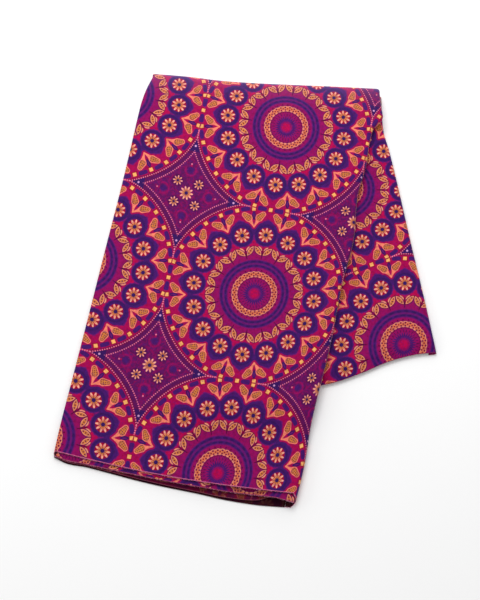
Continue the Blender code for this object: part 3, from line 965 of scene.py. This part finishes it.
# The second layer of the front part. It is the same cotton, turned back under the panel at the
# left edge with its wrong side up, and its cut end shows as a narrow strip below the panel's.
# Inside the right edge it turns round into the third layer.
OVERHANGS = (
    # share of the width, and how far the second, third and fourth layers lie past the panel
    (0.00, 0.0050, 0.0056, 0.0062),
    (0.06, 0.0066, 0.0082, 0.0098),
    (0.15, 0.0056, 0.0070, 0.0084),
    (0.40, 0.0050, 0.0088, 0.0108),
    (0.60, 0.0056, 0.0106, 0.0124),
    (0.72, 0.0060, 0.0124, 0.0150),
    (0.85, 0.0062, 0.0108, 0.0162),
    (0.92, 0.0066, 0.0020, 0.0156),
    (0.97, 0.0090, 0.0020, 0.0150),
    (1.00, 0.0100, 0.0080, 0.0146),
)

# The lower layers start below the top fold, and the second a little inside the left edge. On the
# flat cloth its places run back from the turned edge.
LOWER_START = 0.04
SECOND_INSET = 0.0018
TURNED_BACK = 2 * BEAD_ACROSS - math.pi * BEAD

# Towards the right the second layer's end hangs away from the panel, and a dark mouth opens
MOUTH_DEPTH = 0.0030
MOUTH_STARTS = 0.60
MOUTH_ENDS = 0.97
MOUTH_FROM = 0.80
MOUTH_OPENS_OVER = 0.18


def overhang(layer, across):
    """How far a layer's cut end lies past the panel's, at a share of the width."""
    return between(OVERHANGS, held(across), layer - 1)


def mouth(share, across):
    """How far the second layer hangs below its even height."""
    open_share = (across - MOUTH_STARTS) / (MOUTH_ENDS - MOUTH_STARTS)
    wave = math.sin(math.pi * held(open_share)) ** 2
    return MOUTH_DEPTH * wave * ease((share - MOUTH_FROM) / MOUTH_OPENS_OVER)


def second_line(share):
    """Stations across the second layer and round the bend inside the right edge."""
    width, right, bend_across = right_edge(share)
    line = []
    for across in spaced(BEAD_ACROSS + SECOND_INSET, bend_across):
        part = across / width
        height = stack_height(share, part) - SECOND_BELOW_TOP - mouth(share, part)
        line.append((across, height, TURNED_BACK - across, overhang(2, part)))
    middle = (bend_across, right / 2)
    flat = TURNED_BACK - bend_across
    pasts = (overhang(2, 1.0), overhang(3, 1.0))
    return line + right_bend(middle, right / 2 - SECOND_BELOW_TOP, flat, -1, *pasts)


second_grid = rows_of(front_cell, LOWER_START, second_line)
# Its underside is painted in near-black shade
second_layer = add_cloth("front_second_layer_cloth", second_grid, WRONG_SIDE_UP)
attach(second_layer, "root")
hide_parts("front_second_layer")
second_frayed_end = frayed_end("front_second_layer_frayed_end", second_grid[-1], 7)
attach(second_frayed_end, "root")

# The third and fourth layers of the front part, with the selvedges at their left. The third has
# its printed side up and the fourth its wrong side. Their cut ends show in the dark under the
# second's, and they stop short of the bends at the right. Both are painted in shade: the third
# as a darker copy of the cotton, the fourth near black.
LOWER_LEFT_INSET = 0.0008
LOWER_RIGHT_INSET = 0.0063


def third_line(share):
    """Stations across the third layer, up to the second's bend."""
    width, right, bend_across = right_edge(share)
    flat = TURNED_BACK - 2 * bend_across - math.pi * (right / 2 - SECOND_BELOW_TOP)
    line = []
    for across in spaced(LOWER_LEFT_INSET, bend_across - LOWER_RIGHT_INSET):
        line.append((across, THIRD_HEIGHT, flat + across, overhang(3, across / width)))
    return line


def fourth_line(share):
    """Stations across the fourth layer, up to the panel's right edge."""
    width, right, bend_across = right_edge(share)
    flat = 2 * bend_across + math.pi * (right - CLOTH) / 2
    line = []
    for across in spaced(LOWER_LEFT_INSET, bend_across - LOWER_RIGHT_INSET):
        line.append((across, CLOTH / 2, flat - across, overhang(4, across / width)))
    return line


third_grid = rows_of(front_cell, LOWER_START, third_line)
fourth_grid = rows_of(front_cell, LOWER_START, fourth_line)
lower_layers = add_cloth("front_lower_layers_cloth", third_grid, SHADED_SIDES)
fourth_layer = add_cloth("front_fourth_layer_cloth", fourth_grid, DEEP_SHADE_SIDES)
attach(lower_layers, "root")
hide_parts("front_lower_layers")
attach(fourth_layer, "root")
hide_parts("front_lower_layers")

# The flap. It is the fourth layer of the cotton beyond the top fold, where the strip lies the
# other way up, so it has its printed side up. It fans out to the right from under the front part
# and turns under at its right edge.
BACK_SECTIONS = (
    # share, bow
    (0.00, 0.0000),
    (0.14, -0.0062),
    (0.22, -0.0045),
    (0.35, -0.0032),
    (0.60, -0.0021),
    (0.80, -0.0006),
    (1.00, 0.0000),
)

# How far the hem hangs past a straight line between its corners
HEM_DROPS = (
    # share of the width, drop
    (0.00, 0.0000),
    (0.25, 0.0090),
    (0.45, 0.0140),
    (0.56, 0.0143),
    (0.69, 0.0083),
    (0.80, 0.0010),
    (0.91, -0.0016),
    (1.00, 0.0000),
)

# The flap starts just below the top fold, and its left edge lies a little inside the panel's.
# Where it turns under at the right, its cut end lies past its hem.
FLAP_START = 0.0012
FLAP_LEFT_INSET = 0.0034
FLAP_EDGE_PAST = 0.0016

# Soft creases of the back part: a trough beside the front part's edge, and shallow ones where the
# flap fans out
BACK_CREASES = (
    # from_x, from_y, to_x, to_y, half_width, rise
    (0.1200, 0.0350, 0.0940, -0.0880, 0.0110, -0.085),
    (0.1560, 0.1350, 0.1490, 0.0500, 0.0080, -0.050),
    (0.1690, 0.0600, 0.1820, -0.0400, 0.0100, -0.040),
    (0.1400, -0.0100, 0.1350, -0.1000, 0.0130, -0.035),
)
FLAP_MEDALLION = Vector((0.2318, 0.3843))
FLAP_ACROSS = Vector((-0.1897, -0.0801))
FLAP_ALONG = Vector((-0.0677, 0.1910))

# How far the flap's print lies off a straight repeat, in millimetres. It is drawn down at the
# right edge, near the top fold.
FLAP_DRIFT = (
    # share, middle_x, middle_y, right_x, right_y
    (0.00, 0.0, 0.0, 1.0, 3.0),
    (0.15, 0.0, 0.0, 0.9, 3.6),
    (0.30, 0.0, -2.5, 0.0, 4.6),
    (0.40, 0.5, -3.0, -0.5, 2.7),
    (0.60, 0.0, -1.5, 0.5, 0.3),
    (0.80, 0.0, 0.0, 0.0, -0.6),
    (1.00, 0.5, 0.2, 0.7, -0.3),
)
FLAP_SHOWS_FROM = 0.6

# The back part's hem is pressed flat: how much lower it is, and from which share of the length
HEM_PRESSED = 0.50
HEM_PRESSED_FROM = 0.955


def back_edges(share):
    """The left and the right end of a row across the back part."""
    left = FOLD_LEFT.lerp(BACK_END_LEFT, share)
    right = BACK_TOP_RIGHT.lerp(BACK_END_RIGHT, share)
    return left, right + (right - left).normalized() * between(BACK_SECTIONS, share, 1)


def back_width(share):
    """The width of a row across the back part."""
    left, right = back_edges(share)
    return (right - left).length


def back_place(share, across, past=0.0):
    """A place on the plan of the back part."""
    left, right = back_edges(share)
    width = (right - left).length
    drop = between(HEM_DROPS, held(across / width), 1)
    place = left + (right - left) * (across / width) + BACK_DOWN * ((past + drop) * share**4)
    return place + fold_dip(share, across / width)


def flap_drift(share, across):
    """How far the flap's print has drifted, at a share of its length and of its width."""
    middle, right = drifts(FLAP_DRIFT, share)
    return middle.lerp(right, held((across - FLAP_SHOWS_FROM) / (1 - FLAP_SHOWS_FROM)))


def back_cell(share, across, height, flat, past=0.0):
    """A point of the back part, its place on the print, and how far it lies from the cut end."""
    point = back_place(share, across, past)
    to_end = back_place(1.0, across, past) - point
    spread = back_place(share, flat, past) + flap_drift(share, flat / back_width(share))
    pressed = HEM_PRESSED * ease((share - HEM_PRESSED_FROM) / (1 - HEM_PRESSED_FROM))
    height = CLOTH / 2 + (height - CLOTH / 2) * (1 + creased(BACK_CREASES, point) - pressed)
    printed = printed_place(spread, FLAP_MEDALLION, (FLAP_ACROSS, FLAP_ALONG))
    return Vector((point.x, point.y, height)), printed, to_end.length


def back_bend(share):
    """The back part's height at its right edge, and how far across that edge bends."""
    stack = back_height(back_edges(share)[1])
    return stack, back_width(share) - stack / 2


def back_tops(share, last):
    """Even steps across the back part, with the height of its top at each."""
    left, right = back_edges(share)
    tops = []
    for across in spaced(FLAP_LEFT_INSET, last):
        place = left + (right - left) * (across / back_width(share))
        tops.append((across, back_height(place)))
    return tops


def flap_line(share):
    """Stations across the flap and round its right edge."""
    stack, bend_across = back_bend(share)
    line = [(across, top - CLOTH / 2, across, 0.0) for across, top in back_tops(share, bend_across)]
    middle = (bend_across, stack / 2)
    return line + right_bend(middle, (stack - CLOTH) / 2, bend_across, 1, 0.0, FLAP_EDGE_PAST)


flap_grid = rows_of(back_cell, FLAP_START, flap_line)
back_flap = add_cloth("back_flap_cloth", flap_grid, FLAP_SIDES)
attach(back_flap, "root")
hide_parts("back_flap")

# The three layers under the flap. They are the same cotton: the third and second, joined by a
# bend inside the right edge, and the first, on the floor, which comes round the top fold from
# the panel. They are painted in shade: the top one near black on its underside, the middle one
# as a darker copy of the cotton, and the first near black.
UNDER_START = 0.022
UNDER_RIGHT_INSET = 0.0066
UNDER_LAYERS = (
    # share of the height to the flap, how far past the flap's hem or short of it, its three sides
    (0.80, -0.0026, WRONG_SIDE_UP),
    (0.42, -0.0020, SHADED_SIDES),
    (0.05, -0.0014, DEEP_SHADE_SIDES),
)


def under_line(share, level, past):
    """Stations across one layer under the flap."""
    last = back_bend(share)[1] - UNDER_RIGHT_INSET
    line = []
    for across, top in back_tops(share, last):
        line.append((across, max((top - 2 * CLOTH) * level, CLOTH / 2), across, past))
    return line


for number, (level, past, sides) in enumerate(UNDER_LAYERS):
    grid = rows_of(back_cell, UNDER_START, lambda share: under_line(share, level, past))
    piece = add_cloth(f"back_under_layer_{number + 1}_cloth", grid, sides)
    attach(piece, "root")
    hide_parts("back_under_layers")

# The floor: a plain pale table top that the cloth lies on. It is a little below the cloth, so that
# the two don't touch.
FLOOR_HEIGHT = -0.0002
FLOOR_REACH = 3.0
corners = ((-1, -1), (1, -1), (1, 1), (-1, 1))
mesh = bpy.data.meshes.new("floor")
points = [(x * FLOOR_REACH, y * FLOOR_REACH, FLOOR_HEIGHT) for x, y in corners]
mesh.from_pydata(points, [], [(0, 1, 2, 3)])
floor = linked("floor", mesh)
material = bpy.data.materials.new("floor")
material.use_nodes = True
surface = {"Base Color": (0.98, 0.98, 0.98, 1.0), "Roughness": 0.8}
fed(material.node_tree.nodes["Principled BSDF"], surface)
mesh.materials.append(material)

# The studio's light: a wide soft box over the far end of the cloth, a low window behind that end,
# a panel at the left, and pale walls all round.
WALLS = 0.59


def area_light(name, size, energy, place, target):
    """A rectangular lamp that shines from a place to a target."""
    lamp = bpy.data.lights.new(name, "AREA")
    lamp.shape = "RECTANGLE"
    lamp.size, lamp.size_y = size
    lamp.energy = energy
    light = linked(name, lamp)
    light.location = place
    light.rotation_euler = (Vector(target) - Vector(place)).to_track_quat("-Z", "Y").to_euler()


world = bpy.data.worlds.new("studio")
world.use_nodes = True
walls = {"Color": (1.0, 1.0, 1.0, 1.0), "Strength": WALLS}
fed(world.node_tree.nodes["Background"], walls)
bpy.context.scene.world = world
area_light("soft box", (1.6, 1.2), 30.0, (-0.3, 1.5, 1.7), (0.0, 0.0, 0.0))
area_light("window", (1.4, 0.25), 1.6, (0.0, 0.62, 0.30), (0.0, 0.20, 0.0))
area_light("left panel", (0.9, 0.5), 2.2, (-1.3, 0.25, 0.55), (0.0, 0.0, 0.0))
bpy.context.scene.view_settings.view_transform = "Standard"

# The camera stands over the cloth's lower end and looks steeply down at it.
CAMERA_ELEVATION = math.radians(71)
CAMERA_DISTANCE = 1.6107
CAMERA_TARGET = Vector((-0.0082, -0.0273, 0.0135))
camera = linked("camera", bpy.data.cameras.new("camera"))
camera.data.lens = 85
backward = Vector((0, -math.cos(CAMERA_ELEVATION), math.sin(CAMERA_ELEVATION)))
camera.location = CAMERA_TARGET + backward * CAMERA_DISTANCE
camera.rotation_euler = (math.pi / 2 - CAMERA_ELEVATION, 0, 0)
bpy.context.scene.camera = camera
